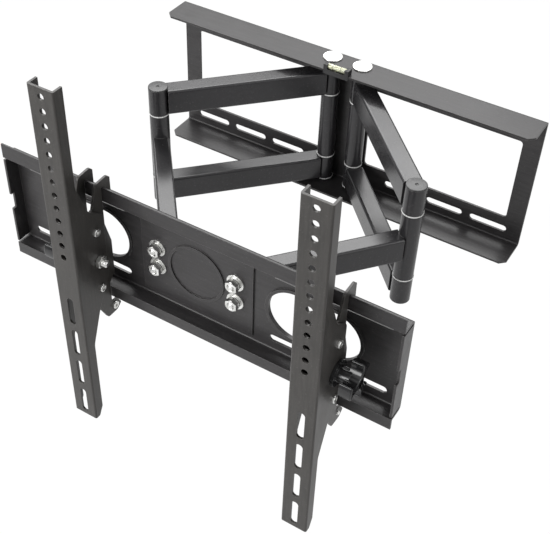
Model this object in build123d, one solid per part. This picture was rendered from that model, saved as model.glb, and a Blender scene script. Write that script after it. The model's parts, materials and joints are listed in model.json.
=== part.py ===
from build123d import *
from math import acos, cos, degrees, radians, sin
import os

# A full-motion wall mount in millimetres. X points right, minus Y points out into the room, Z points up.
# The origin is the middle of the wall plate's back face, which lies on the wall at Y = 0.

# Wall plate
wall_plate_width = 475.0
wall_plate_height = 177.0
wall_plate_depth = 44.0
wall_sheet = 2.5
side_strip = 21.5
slotted_band = 34.5
wall_slot_count = 3
wall_slot_first = 82.0
wall_slot_pitch = 57.0
wall_slot_length = 47.0
wall_slot_width = 8.5
wall_slot_edge = 17.5
wall_corner_cut = 7.0
window_corner = 4.0
centre_web_width = 56.0
bend_radius = 2.0

# Linkage
hub_offset = 19.4
hub_depth = 16.2
rear_arm_length = 205.6
front_arm_length = 172.8
head_pivot_offset = 52.2
rest_angle = 46.3
linkage_level = -2.0
rear_bar_offset = 61.6
bar_height = 30.6
rear_bar_width = 21.8
front_bar_width = 20.6
bar_wall = 2.0
bar_corner = 2.8
hub_knuckle_diameter = 21.2
elbow_knuckle_diameter = 22.6
head_knuckle_diameter = 20.0
knuckle_height = 32.4
bush_outer = 15.0
bush_flange_thickness = 1.2
bush_flange_rim = 0.5
pin_diameter = 12.0
elbow_cap_thickness = 1.6
elbow_cap_round = 0.8
elbow_cap_plug = 6.0
elbow_bush_length = 22.0
upper_spacer_diameter = 19.2
lower_spacer_diameter = 14.6
disc_head_diameter = 23.0
disc_head_thickness = 2.0
disc_head_round = 0.8
hub_nut_size = 18.0
hub_nut_height = 9.0
hub_bolt_tail = 4.0

# Head bracket behind the front plate
head_reach = 21.2
head_sheet = 3.0
head_width = 136.0
head_lug_depth = 29.5
head_lug_width = 34.0
head_knuckle_rise = 17.2
head_knuckle_drop = 22.0
head_pin_head_diameter = 14.0
head_pin_head_height = 2.0
head_washer_thickness = 1.0
open_pivot_clearance = 1.6

# Front plate
front_plate_width = 475.0
front_plate_rise = 62.0
front_plate_drop = 62.0
front_plate_depth = 20.0
front_sheet = 2.5
front_plate_level = -4.5
top_lip = 14.8
bottom_lip = 12.5
end_flange_gap = 3.0
end_notch_height = 20.0
end_notch_depth = 4.5
plate_slot_length = 134.0
plate_slot_width = 8.7
plate_slot_x = 155.0
plate_slot_row = 44.0
window_width = 104.0
window_height = 62.0
window_x = 138.0
window_rim = 3.5
window_rim_height = 2.2
panel_width = 137.0
panel_top_margin = 8.5
panel_bottom_margin = 9.5
panel_raise = 2.0
ring_diameter = 69.0
ring_width = 3.0
ring_raise = 1.6
lip_round = 0.6

# Levelling bolts that hold the front plate to the head
level_bolt_x = 48.0
level_bolt_z = 12.6
level_bolt_diameter = 8.0
level_head_height = 3.0
level_head_diameter = 12.0
level_washer_diameter = 20.0
level_washer_thickness = 1.6
spring_washer_diameter = 14.6
spring_washer_thickness = 2.0
spring_washer_split = 1.0
level_nut_size = 13.0
level_nut_height = 6.5
level_bolt_tail = 1.0
level_bolt_round = 0.8
level_turn_range = 3.0

# Tilt brackets that hook over the front plate's top lip
left_bracket_x = -115.0
right_bracket_x = 167.5
bracket_width = 24.4
bracket_sheet = 2.5
bracket_setback = 15.0
bracket_front_height = 58.0
bracket_web_end = 6.0
front_lean = 9.0
front_lean_drop = 50.0
claw_root_lean = 16.0
claw_root_drop = 74.0
hook_top = 24.5
hook_nose = 4.0
hook_slope = 1.0
hook_foot_gap = 2.0
hook_rear_gap = 4.2
hook_reach = 22.0
neck_width = 16.5
neck_gap = 1.0
neck_drop = 2.5
throat_height = 36.0
lobe_gap = 10.5
lobe_height = 8.0
lobe_foot = 20.0
claw_drop = 36.5
claw_front = 10.0
claw_back = 6.0
claw_tip_gap = 4.5
claw_tip_height = 6.0
claw_gap = 7.0
hook_round = 6.0
hook_nose_round = 5.0
shoulder_round = 6.0
heel_round = 6.0
claw_round = 5.0
claw_tip_round = 2.0
lobe_foot_round = 8.0
lobe_crown_round = 12.0
throat_round = 10.0
safety_screw_diameter = 5.0
safety_screw_head = 9.0
safety_screw_tail = 2.0
safety_screw_setback = 2.0
safety_screw_height = 10.0

# Rails that carry the screen
rail_width = 31.0
rail_sheet = 2.5
rail_top = 213.7
rail_length = 446.7
rail_reach = 71.1
rail_flange = 12.8
rail_deep_flange = 47.6
deep_flange_half = 108.0
deep_knee_step = 20.5
deep_knee_low = 68.0
deep_knee_high = 70.0
deep_edge_low = 28.0
deep_edge_high = 54.0
flange_foot_round = 20.0
flange_knee_round = 16.0
flange_low_round = 12.0
flange_high_round = 9.0
rail_hole_count = 13
rail_hole_pitch = 16.0
rail_hole_diameter = 7.4
rail_first_hole = 9.3
rail_slot_count = 4
rail_slot_first = 269.0
rail_slot_pitch = 48.0
rail_slot_length = 38.0
rail_slot_width = 8.2
rail_foot_cut = 12.0

# Tilt pivot, guide bolts and knob
tilt_pivot_depth = 36.2
tilt_pivot_level = -10.2
lock_bolt_diameter = 8.0
guide_bolt_diameter = 5.0
guide_bolt_tail = 0.5
guide_radius = 38.5
tilt_down = 15.0
tilt_up = 5.0
guide_slot_steps = 10
tilt_washer_diameter = 20.0
guide_head_diameter = 9.0
guide_head_height = 2.6
guide_head_round = 1.0
guide_nut_size = 8.0
guide_nut_height = 3.2
lock_nut_size = 13.0
lock_nut_height = 5.0
lock_bolt_tail = 6.5
lock_bolt_chamfer = 1.0
knob_end = 42.0
knob_length = 13.5
knob_diameter = 41.5
knob_lobe_count = 3
knob_turn = 4.0
knob_scoop_radius = 11.6
knob_scoop_distance = 18.2
knob_lobe_round = 1.2
knob_face_round = 1.6
knob_hub_diameter = 17.0
knob_collar_diameter = 28.0
knob_collar_thickness = 3.5
knob_recess_diameter = 9.0
knob_recess_depth = 3.0

# Spirit level in a cradle that clips over the front edge of the wall plate's top flange
vial_length = 26.0
vial_diameter = 6.0
cradle_length = 32.0
cradle_end_block = 5.0
cradle_depth = 8.6
cradle_wall = 1.0
cradle_clip = 5.0

# Clearances
running_clearance = 0.05
bolt_clearance = 0.2
guide_clearance = 0.3
rest_clearance = 0.2
face_clearance = 0.1
weld_overlap = 1.5
cut_past = 2.0

# Places worked out from the sizes above
elbow_x = hub_offset + rear_arm_length * cos(radians(rest_angle))
elbow_y = -hub_depth - rear_arm_length * sin(radians(rest_angle))
front_angle = degrees(acos((elbow_x - head_pivot_offset) / front_arm_length))
head_y = elbow_y - front_arm_length * sin(radians(front_angle))
plate_back_y = head_y - head_reach
plate_front_y = plate_back_y - front_sheet
plate_top = front_plate_level + front_plate_rise
plate_bottom = front_plate_level - front_plate_drop
plate_edge_y = plate_back_y - front_plate_depth
rail_face_y = plate_front_y - rail_reach
tilt_y = plate_front_y - tilt_pivot_depth
sleeve_half_height = rear_bar_offset - knuckle_height / 2 - bush_flange_thickness - face_clearance
upper_knuckle_top = linkage_level + rear_bar_offset + knuckle_height / 2
lower_knuckle_bottom = linkage_level - rear_bar_offset - knuckle_height / 2
flange_under = wall_plate_height / 2 - wall_sheet
bracket_front_y = rail_face_y + rail_sheet + bracket_setback
panel_front_y = plate_front_y - panel_raise
level_stack_front = panel_front_y - level_washer_thickness - spring_washer_thickness
safety_y = plate_edge_y + safety_screw_setback
safety_z = plate_bottom - claw_drop + safety_screw_height
cradle_front_y = -wall_plate_depth - cradle_wall
vial_y = cradle_front_y + cradle_depth / 2
vial_z = wall_plate_height / 2 + cradle_wall + vial_diameter / 2
pin_bore = pin_diameter + 2 * running_clearance
lock_bolt_bore = lock_bolt_diameter + 2 * running_clearance
hub_flange_diameter = hub_knuckle_diameter + 2 * bush_flange_rim
elbow_flange_diameter = elbow_knuckle_diameter + 2 * bush_flange_rim


def disc(diameter, z_low, z_high):
    return Pos(0, 0, (z_low + z_high) / 2) * Cylinder(diameter / 2, z_high - z_low)


def ring(outer, inner, z_low, z_high):
    return disc(outer, z_low, z_high) - disc(inner, z_low - cut_past, z_high + cut_past)


def block(x_low, x_high, y_low, y_high, z_low, z_high):
    centre = Pos((x_low + x_high) / 2, (y_low + y_high) / 2, (z_low + z_high) / 2)
    return centre * Box(x_high - x_low, y_high - y_low, z_high - z_low)


def side_to_side(diameter, x_low, x_high, y, z):
    rod = Rot(0, 90, 0) * Cylinder(diameter / 2, x_high - x_low)
    return Pos((x_low + x_high) / 2, y, z) * rod


def front_to_back(diameter, y_low, y_high, x, z):
    rod = Rot(90, 0, 0) * Cylinder(diameter / 2, y_high - y_low)
    return Pos(x, (y_low + y_high) / 2, z) * rod


def hexagon(across_flats, thickness):
    return extrude(RegularPolygon(across_flats / 2, 6, major_radius=False), thickness / 2, both=True)


def upright_slot(length, width, x, z, y_low, y_high, turn=0.0):
    outline = SlotOverall(length, width, rotation=turn)
    return Pos(x, y_high, z) * extrude(Plane.XZ * outline, y_high - y_low)


def side_profile(points, corner_radii, x_low, x_high):
    outline = Polygon(*points, align=None)
    for (corner, radius) in corner_radii:
        vertex = outline.vertices().sort_by_distance(Vector(corner[0], corner[1], 0))[0]
        outline = fillet(vertex, radius)
    return Pos(x_low, 0, 0) * extrude(Plane.YZ * outline, x_high - x_low)


def mirrored(shape):
    return mirror(shape, Plane.YZ)


def folded_channel(width, depth, height, sheet):
    # Web at the back with its outer face on Y = 0, flanges pointing to minus Y
    outer = Pos(-depth / 2, 0) * Rectangle(depth, height)
    outer = fillet(outer.vertices().group_by(Axis.X)[-1], bend_radius + sheet)
    inner = Pos(-sheet - depth / 2, 0) * Rectangle(depth, height - 2 * sheet)
    inner = fillet(inner.vertices().group_by(Axis.X)[-1], bend_radius)
    return extrude(Plane.YZ * (outer - inner), width / 2, both=True)


def wall_plate():
    plate = folded_channel(wall_plate_width, wall_plate_depth, wall_plate_height, wall_sheet)
    corners = plate.edges().filter_by(Axis.Z).group_by(Axis.Y)[0]
    plate = chamfer(corners, wall_corner_cut)
    window_x_low = centre_web_width / 2
    window_x_high = wall_plate_width / 2 - side_strip
    window_z = wall_plate_height / 2 - slotted_band
    for side in (-1, 1):
        window = Plane.XZ * RectangleRounded(window_x_high - window_x_low, 2 * window_z, window_corner)
        middle = side * (window_x_low + window_x_high) / 2
        plate -= Pos(middle, cut_past, 0) * extrude(window, wall_sheet + 2 * cut_past)
        for step in range(wall_slot_count):
            x = side * (wall_slot_first + step * wall_slot_pitch)
            for z in (-1, 1):
                row = z * (wall_plate_height / 2 - wall_slot_edge)
                plate -= upright_slot(wall_slot_length, wall_slot_width, x, row, -wall_sheet - cut_past, cut_past)
        hole = disc(pin_bore, -wall_plate_height, wall_plate_height)
        plate -= Pos(side * hub_offset, -hub_depth, 0) * hole
    return plate


def hub_sleeves():
    body = ring(hub_knuckle_diameter, pin_diameter, -sleeve_half_height, sleeve_half_height)
    body += block(-hub_knuckle_diameter / 4, hub_knuckle_diameter / 4, pin_diameter / 2 + weld_overlap,
                  hub_depth - wall_sheet, -sleeve_half_height, sleeve_half_height)
    return [Pos(side * hub_offset, -hub_depth, linkage_level) * body for side in (-1, 1)]


def hub_bolts():
    low = -wall_plate_height / 2 - hub_nut_height - hub_bolt_tail
    head_low = wall_plate_height / 2
    bolt = disc(pin_diameter, low, head_low)
    head = disc(disc_head_diameter, head_low, head_low + disc_head_thickness)
    bolt += fillet(head.edges().group_by(Axis.Z)[-1], disc_head_round)
    return [Pos(side * hub_offset, -hub_depth, 0) * bolt for side in (-1, 1)]


def hub_nuts():
    low = -wall_plate_height / 2 - hub_nut_height
    nut = Pos(0, 0, low + hub_nut_height / 2) * hexagon(hub_nut_size, hub_nut_height)
    nut -= disc(pin_diameter, low - cut_past, low + hub_nut_height + cut_past)
    return [Pos(side * hub_offset, -hub_depth, 0) * nut for side in (-1, 1)]


def hub_spacers():
    washer = bush_flange_thickness + face_clearance
    upper = ring(upper_spacer_diameter, pin_diameter, upper_knuckle_top + washer, flange_under)
    lower = ring(lower_spacer_diameter, pin_diameter, -flange_under, lower_knuckle_bottom - washer)
    return [Pos(side * hub_offset, -hub_depth, 0) * piece for side in (-1, 1) for piece in (upper, lower)]


def hub_washers(side):
    upper = ring(hub_flange_diameter, pin_bore, upper_knuckle_top, upper_knuckle_top + bush_flange_thickness)
    lower = ring(hub_flange_diameter, pin_bore, lower_knuckle_bottom - bush_flange_thickness, lower_knuckle_bottom)
    return [Pos(side * hub_offset, -hub_depth, 0) * piece for piece in (upper, lower)]


def hub_bushes(side):
    edge = rear_bar_offset - knuckle_height / 2
    bush = ring(bush_outer, pin_bore, edge, edge + knuckle_height)
    bush += ring(hub_flange_diameter, pin_bore, edge - bush_flange_thickness, edge)
    place = Pos(side * hub_offset, -hub_depth, linkage_level)
    return [place * bush, place * mirror(bush, Plane.XY)]


def bar(length, width, start_radius, end_radius):
    # A hollow bar along X between two knuckles, closed at the ends by the knuckles
    inner_start = start_radius - weld_overlap
    inner_end = length - end_radius + weld_overlap
    outer = block(inner_start, inner_end, -width / 2, width / 2, -bar_height / 2, bar_height / 2)
    outer = fillet(outer.edges().filter_by(Axis.X), bar_corner)
    inner = block(inner_start - cut_past, inner_end + cut_past, -width / 2 + bar_wall, width / 2 - bar_wall,
                  -bar_height / 2 + bar_wall, bar_height / 2 - bar_wall)
    return outer - inner


def rear_bar():
    # Lies along X from the hub knuckle at 0 to the elbow knuckle
    half = knuckle_height / 2
    piece = bar(rear_arm_length, rear_bar_width, hub_knuckle_diameter / 2, elbow_knuckle_diameter / 2)
    piece += disc(hub_knuckle_diameter, -half, half)
    piece += Pos(rear_arm_length, 0, 0) * disc(elbow_knuckle_diameter, -half, half)
    piece -= disc(bush_outer, -half - cut_past, half + cut_past)
    piece -= Pos(rear_arm_length, 0, 0) * disc(pin_diameter, -half - cut_past, half + cut_past)
    return piece


def rear_arm_place(side):
    turn = -rest_angle if side > 0 else 180 + rest_angle
    return Pos(side * hub_offset, -hub_depth, linkage_level) * Rot(0, 0, turn)


def rear_bars(side, level):
    return rear_arm_place(side) * Pos(0, 0, level * rear_bar_offset) * rear_bar()


def elbow_place(side):
    return Pos(side * elbow_x, elbow_y, linkage_level)


def elbow_pin(side):
    end = rear_bar_offset + knuckle_height / 2 - elbow_cap_plug
    return elbow_place(side) * disc(pin_diameter, -end, end)


def elbow_caps(side):
    top = rear_bar_offset + knuckle_height / 2
    lid = disc(elbow_knuckle_diameter, top, top + elbow_cap_thickness)
    lid = fillet(lid.edges().group_by(Axis.Z)[-1], elbow_cap_round)
    lid += disc(pin_diameter, top - elbow_cap_plug, top)
    return [elbow_place(side) * lid, elbow_place(side) * mirror(lid, Plane.XY)]


def elbow_bushes(side):
    low = sleeve_half_height - elbow_bush_length
    bush = ring(bush_outer, pin_bore, low, sleeve_half_height)
    bush += ring(elbow_flange_diameter, pin_bore, sleeve_half_height, sleeve_half_height + bush_flange_thickness)
    return [elbow_place(side) * bush, elbow_place(side) * mirror(bush, Plane.XY)]


def front_arm():
    # Lies along X from the elbow sleeve at 0 to the head knuckle
    piece = bar(front_arm_length, front_bar_width, elbow_knuckle_diameter / 2, head_knuckle_diameter / 2)
    piece += disc(elbow_knuckle_diameter, -sleeve_half_height, sleeve_half_height)
    piece -= disc(bush_outer, -sleeve_half_height - cut_past, sleeve_half_height + cut_past)
    head_end = Pos(front_arm_length, 0, 0)
    piece += head_end * disc(head_knuckle_diameter, -head_knuckle_drop, head_knuckle_rise)
    return piece - head_end * disc(bush_outer, -head_knuckle_drop - cut_past, head_knuckle_rise + cut_past)


def front_arm_place(side):
    turn = 180 + front_angle if side > 0 else -front_angle
    return elbow_place(side) * Rot(0, 0, turn)


def head_pin_size(side):
    # The right pin is thinner, which leaves room for the small drift of that pivot
    return pin_diameter if side < 0 else pin_diameter - 2 * open_pivot_clearance


def head_place(side):
    return Pos(side * head_pivot_offset, head_y, linkage_level)


def head_bush(side):
    play = running_clearance if side < 0 else open_pivot_clearance
    return head_place(side) * ring(bush_outer, head_pin_size(side) + 2 * play, -head_knuckle_drop, head_knuckle_rise)


def head_pin(side):
    low = -head_knuckle_drop - head_washer_thickness - head_sheet
    high = head_knuckle_rise + head_washer_thickness + head_sheet
    pin = disc(head_pin_size(side), low, high)
    pin += disc(head_pin_head_diameter, high, high + head_pin_head_height)
    pin += disc(head_pin_head_diameter, low - head_pin_head_height, low)
    return head_place(side) * pin


def head_washers():
    pieces = []
    for side in (-1, 1):
        thickness = head_washer_thickness - rest_clearance
        for z_low in (head_knuckle_rise + rest_clearance, -head_knuckle_drop - head_washer_thickness):
            washer = ring(head_knuckle_diameter, head_pin_size(side), z_low, z_low + thickness)
            pieces.append(head_place(side) * washer)
    return pieces


def head_bracket():
    height = head_knuckle_rise + head_knuckle_drop + 2 * (head_washer_thickness + head_sheet)
    middle = linkage_level + (head_knuckle_rise - head_knuckle_drop) / 2
    back = folded_channel(head_width, head_lug_depth, height, head_sheet)
    bracket = Pos(0, plate_back_y, middle) * Rot(0, 0, 180) * back
    free_half = head_width / 2 - head_lug_width
    bracket -= block(-free_half, free_half, plate_back_y + head_sheet + bend_radius,
                     plate_back_y + head_lug_depth + cut_past, middle - height, middle + height)
    for side in (-1, 1):
        bracket -= head_place(side) * disc(head_pin_size(side), -height, height)
        for z in (-1, 1):
            place = front_plate_level + z * level_bolt_z
            bracket -= front_to_back(level_bolt_diameter, plate_back_y - cut_past,
                                     plate_back_y + head_sheet + cut_past, side * level_bolt_x, place)
    return bracket


def at_level_bolts(make):
    pieces = []
    for x in (-level_bolt_x, level_bolt_x):
        for z in (-level_bolt_z, level_bolt_z):
            pieces.append(Pos(x, 0, front_plate_level + z) * make())
    return pieces


def level_bolt():
    head_y_low = plate_back_y + head_sheet
    tip = level_stack_front - level_nut_height - level_bolt_tail
    shank = front_to_back(level_bolt_diameter, tip, head_y_low, 0, 0)
    shank = fillet(shank.edges().group_by(Axis.Y)[0], level_bolt_round)
    return shank + front_to_back(level_head_diameter, head_y_low, head_y_low + level_head_height, 0, 0)


def level_washer():
    outer = front_to_back(level_washer_diameter, panel_front_y - level_washer_thickness, panel_front_y, 0, 0)
    back = panel_front_y + cut_past
    return outer - front_to_back(level_bolt_diameter, level_stack_front, back, 0, 0)


def spring_washer():
    back = panel_front_y - level_washer_thickness
    outer = front_to_back(spring_washer_diameter, back - spring_washer_thickness, back, 0, 0)
    outer -= front_to_back(level_bolt_diameter, level_stack_front - cut_past, back + cut_past, 0, 0)
    split = spring_washer_split / 2
    return outer - block(0, spring_washer_diameter, level_stack_front - cut_past, back + cut_past, -split, split)


def level_nut():
    front = level_stack_front - level_nut_height
    nut = Rot(90, 0, 0) * hexagon(level_nut_size, level_nut_height)
    nut = Pos(0, (front + level_stack_front) / 2, 0) * nut
    return nut - front_to_back(level_bolt_diameter, front - cut_past, level_stack_front + cut_past, 0, 0)


def front_plate():
    plate = folded_channel(front_plate_width, front_plate_depth, plate_top - plate_bottom, front_sheet)
    plate = Pos(0, plate_back_y, (plate_top + plate_bottom) / 2) * plate
    half = front_plate_width / 2
    # The top lip turns up and the bottom lip turns down, so that a bracket can hook over both
    upper = block(-half, half, plate_edge_y, plate_edge_y + front_sheet, plate_top - front_sheet, plate_top + top_lip)
    plate += fillet(upper.edges().filter_by(Axis.X).group_by(Axis.Z)[-1], lip_round)
    lower = block(-half, half, plate_edge_y, plate_edge_y + front_sheet, plate_bottom - bottom_lip,
                  plate_bottom + front_sheet)
    plate += fillet(lower.edges().filter_by(Axis.X).group_by(Axis.Z)[0], lip_round)
    low = plate_bottom + front_sheet + end_flange_gap
    high = plate_top - front_sheet - end_flange_gap
    notch_middle = (low + high) / 2
    for side in (-1, 1):
        x_low = half - front_sheet if side > 0 else -half
        flange = block(x_low, x_low + front_sheet, plate_edge_y, plate_back_y, low, high)
        flange -= block(x_low - cut_past, x_low + front_sheet + cut_past, plate_edge_y - cut_past,
                        plate_edge_y + end_notch_depth, notch_middle - end_notch_height / 2,
                        notch_middle + end_notch_height / 2)
        plate += flange
        for z in (-1, 1):
            row = front_plate_level + z * plate_slot_row
            plate -= upright_slot(plate_slot_length, plate_slot_width, side * plate_slot_x, row,
                                  plate_front_y - cut_past, plate_back_y + cut_past)
        rim = upright_slot(window_width + 2 * window_rim, window_height + 2 * window_rim, side * window_x,
                           front_plate_level, plate_front_y - window_rim_height, plate_front_y)
        plate += rim
        plate -= upright_slot(window_width, window_height, side * window_x, front_plate_level,
                              plate_front_y - window_rim_height - cut_past, plate_back_y + cut_past)
    plate += block(-panel_width / 2, panel_width / 2, panel_front_y, plate_front_y,
                   plate_bottom + panel_bottom_margin, plate_top - panel_top_margin)
    boss = front_to_back(ring_diameter, panel_front_y - ring_raise, panel_front_y, 0, front_plate_level)
    boss -= front_to_back(ring_diameter - 2 * ring_width, panel_front_y - cut_past, panel_front_y + cut_past,
                          0, front_plate_level)
    plate += boss
    travel = 2 * level_bolt_x * radians(level_turn_range)
    for x in (-level_bolt_x, level_bolt_x):
        for z in (-level_bolt_z, level_bolt_z):
            turn = degrees(acos(level_bolt_x / (level_bolt_x ** 2 + level_bolt_z ** 2) ** 0.5))
            lean = turn if x * z > 0 else -turn
            size = level_bolt_diameter + 2 * guide_clearance
            plate -= upright_slot(size + travel, size, x, front_plate_level + z,
                                  panel_front_y - cut_past, plate_back_y + cut_past, 90 + lean)
    return plate


def bracket_points():
    hook_peak = plate_top + hook_top
    hook_foot = plate_top + hook_foot_gap
    lip_top = plate_top + top_lip + rest_clearance
    lip_rear = plate_edge_y + front_sheet + rest_clearance
    rear = plate_front_y - hook_rear_gap
    neck_rear = plate_edge_y - neck_gap
    lobe = plate_front_y - lobe_gap
    claw_low = plate_bottom - claw_drop
    claw_throat = plate_bottom - bottom_lip - claw_gap
    return [
        (rear, hook_foot),
        (rear, hook_peak - hook_nose),
        (rear - hook_nose, hook_peak),
        (rear - hook_reach, hook_peak - hook_slope),
        (neck_rear - neck_width, plate_top - neck_drop),
        (bracket_front_y, tilt_pivot_level + bracket_front_height),
        (bracket_front_y, tilt_pivot_level),
        (bracket_front_y + front_lean, tilt_pivot_level - front_lean_drop),
        (bracket_front_y + claw_root_lean, tilt_pivot_level - claw_root_drop),
        (plate_edge_y - claw_front, claw_low),
        (plate_edge_y + claw_back, claw_low),
        (plate_front_y - claw_tip_gap, claw_low + claw_tip_height),
        (plate_edge_y + claw_back, claw_throat),
        (neck_rear - neck_gap, claw_throat),
        (neck_rear - neck_gap, plate_bottom + lobe_foot / 2),
        (lobe, plate_bottom + lobe_foot),
        (lobe, tilt_pivot_level + lobe_height),
        (neck_rear, tilt_pivot_level + throat_height),
        (neck_rear, lip_top),
        (lip_rear, lip_top),
        (lip_rear, hook_foot),
    ]


def tilt_bracket():
    points = bracket_points()
    radii = [(points[2], hook_round), (points[3], hook_nose_round), (points[5], shoulder_round),
             (points[9], heel_round), (points[10], claw_round), (points[11], claw_tip_round),
             (points[15], lobe_foot_round), (points[16], lobe_crown_round), (points[17], throat_round)]
    half = bracket_width / 2
    body = side_profile(points, radii, -half, half)
    inner = half - bracket_sheet
    base = bracket_front_y + bracket_sheet
    web_end = tilt_pivot_level - bracket_web_end
    body -= block(-inner, inner, base, plate_back_y, -rail_length, rail_length)
    body -= block(-inner, inner, bracket_front_y - cut_past, plate_back_y, -rail_length, web_end)
    body -= side_to_side(lock_bolt_bore, -half - cut_past, half + cut_past, tilt_y, tilt_pivot_level)
    for end in (-1, 1):
        body -= guide_slot(end, half)
    body -= side_to_side(safety_screw_diameter, -half - cut_past, half + cut_past, safety_y, safety_z)
    return body


def guide_slot(end, half):
    # The guide bolts swing with the rail, so each slot is a short arc about the tilt pivot
    size = guide_bolt_diameter + 2 * guide_clearance
    slot = None
    for step in range(guide_slot_steps + 1):
        turn = -tilt_up + (tilt_up + tilt_down) * step / guide_slot_steps
        y = tilt_y - end * guide_radius * sin(radians(turn))
        z = tilt_pivot_level + end * guide_radius * cos(radians(turn))
        cut = side_to_side(size, -half - cut_past, half + cut_past, y, z)
        slot = cut if slot is None else slot + cut
    return slot


def rail_points():
    face = rail_face_y
    top = rail_top
    bottom = rail_top - rail_length
    edge = face + rail_flange
    deep = face + rail_deep_flange
    middle = tilt_pivot_level
    return [
        (edge - rail_foot_cut / 2, bottom),
        (edge, bottom + rail_foot_cut),
        (edge, middle - deep_flange_half),
        (deep - deep_knee_step, middle - deep_knee_low),
        (deep, middle - deep_edge_low),
        (deep, middle + deep_edge_high),
        (deep - deep_knee_step, middle + deep_knee_high),
        (edge, middle + deep_flange_half),
        (edge, top),
        (face, top),
        (face, bottom),
    ]


def rail():
    points = rail_points()
    radii = [(points[2], flange_foot_round), (points[3], flange_knee_round), (points[4], flange_low_round),
             (points[5], flange_high_round), (points[6], flange_knee_round), (points[7], flange_foot_round)]
    half = rail_width / 2
    body = side_profile(points, radii, -half, half)
    body = fillet(body.edges().filter_by(Axis.Z).group_by(Axis.Y)[0], bend_radius)
    inner = half - rail_sheet
    body -= block(-inner, inner, rail_face_y + rail_sheet, rail_face_y + rail_deep_flange + cut_past,
                  rail_top - rail_length - cut_past, rail_top + cut_past)
    front = rail_face_y - cut_past
    back = rail_face_y + rail_sheet + cut_past
    for step in range(rail_hole_count):
        z = rail_top - rail_first_hole - step * rail_hole_pitch
        body -= front_to_back(rail_hole_diameter, front, back, 0, z)
    for step in range(rail_slot_count):
        z = rail_top - rail_first_hole - rail_slot_first - step * rail_slot_pitch
        body -= upright_slot(rail_slot_length, rail_slot_width, 0, z, front, back, 90)
    side = half + cut_past
    body -= side_to_side(lock_bolt_bore, -side, side, tilt_y, tilt_pivot_level)
    for end in (-1, 1):
        body -= side_to_side(guide_bolt_diameter, -side, side, tilt_y, tilt_pivot_level + end * guide_radius)
    return body


def guide_bolts():
    # Four short bolts, two on each flange of the rail, with their nuts' side inside the bracket
    outer = rail_width / 2
    inner = bracket_width / 2 - bracket_sheet - rest_clearance - guide_nut_height - guide_bolt_tail
    pieces = []
    for end in (-1, 1):
        z = tilt_pivot_level + end * guide_radius
        bolt = side_to_side(guide_bolt_diameter, inner, outer, tilt_y, z)
        head = side_to_side(guide_head_diameter, outer, outer + guide_head_height, tilt_y, z)
        bolt += fillet(head.edges().group_by(Axis.X)[-1], guide_head_round)
        pieces += [bolt, mirrored(bolt)]
    return pieces


def guide_nuts():
    face = bracket_width / 2 - bracket_sheet - rest_clearance
    pieces = []
    for end in (-1, 1):
        z = tilt_pivot_level + end * guide_radius
        nut = Rot(0, 90, 0) * hexagon(guide_nut_size, guide_nut_height)
        nut = Pos(face - guide_nut_height / 2, tilt_y, z) * nut
        nut -= side_to_side(guide_bolt_diameter, 0, rail_width, tilt_y, z)
        pieces += [nut, mirrored(nut)]
    return pieces


def tilt_washers():
    inner = bracket_width / 2 + rest_clearance
    outer = rail_width / 2 - rail_sheet
    washer = side_to_side(tilt_washer_diameter, inner, outer, tilt_y, tilt_pivot_level)
    washer -= side_to_side(lock_bolt_bore, inner - cut_past, outer + cut_past, tilt_y, tilt_pivot_level)
    return [washer, mirrored(washer)]


def lock_bolt():
    # The knob is on the plus X side and the threaded end is on the other
    tail = -rail_width / 2 - lock_nut_height - lock_bolt_tail
    bolt = side_to_side(lock_bolt_diameter, tail, knob_end - knob_length / 2, tilt_y, tilt_pivot_level)
    return chamfer(bolt.edges().group_by(Axis.X)[0], lock_bolt_chamfer)


def lock_nut():
    middle = -rail_width / 2 - rest_clearance - lock_nut_height / 2
    nut = Pos(middle, tilt_y, tilt_pivot_level) * Rot(0, 90, 0) * hexagon(lock_nut_size, lock_nut_height)
    return nut - side_to_side(lock_bolt_diameter, middle - lock_nut_height, middle + lock_nut_height,
                              tilt_y, tilt_pivot_level)


def knob():
    # A lobed head on a round hub, with finger scoops between the lobes
    low = knob_end - knob_length
    outline = Circle(knob_diameter / 2)
    for lobe in range(knob_lobe_count):
        turn = -90 - knob_turn + 360 * (lobe + 0.5) / knob_lobe_count
        outline -= Rot(0, 0, turn) * Pos(knob_scoop_distance, 0) * Circle(knob_scoop_radius)
    head = extrude(outline, knob_length)
    head = fillet(head.edges().filter_by(Axis.Z), knob_lobe_round)
    head = fillet(head.edges().group_by(Axis.Z)[-1], knob_face_round)
    body = Pos(low, 0, 0) * Rot(0, 90, 0) * head
    inner = rail_width / 2 + rest_clearance
    body += side_to_side(knob_hub_diameter, inner, low + knob_length / 4, 0, 0)
    body += side_to_side(knob_collar_diameter, inner, inner + knob_collar_thickness, 0, 0)
    body -= side_to_side(lock_bolt_bore, 0, knob_end - knob_length / 2, 0, 0)
    body -= side_to_side(knob_recess_diameter, knob_end - knob_recess_depth, knob_end + cut_past, 0, 0)
    return Pos(0, tilt_y, tilt_pivot_level) * body


def safety_screw():
    # The head is on the side that faces the middle of the mount
    half = bracket_width / 2
    screw = side_to_side(safety_screw_diameter, -half, half + safety_screw_tail, safety_y, safety_z)
    head = side_to_side(safety_screw_head, -half - guide_head_height, -half, safety_y, safety_z)
    return screw + fillet(head.edges().group_by(Axis.X)[0], guide_head_round)


def vial_cradle():
    # The end blocks hold the vial, and the front wall clips down over the flange's edge
    top = wall_plate_height / 2
    half = cradle_length / 2
    back = cradle_front_y + cradle_depth
    body = block(-half, half, cradle_front_y, back, top, top + cradle_wall)
    body += block(-half, half, cradle_front_y, -wall_plate_depth, top - cradle_clip, top + cradle_wall)
    for x_low in (-half, half - cradle_end_block):
        body += block(x_low, x_low + cradle_end_block, cradle_front_y, back, top, vial_z + vial_diameter / 2)
    seat = vial_length / 2 + running_clearance
    return body - side_to_side(vial_diameter + 2 * running_clearance, -seat, seat, vial_y, vial_z)


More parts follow.
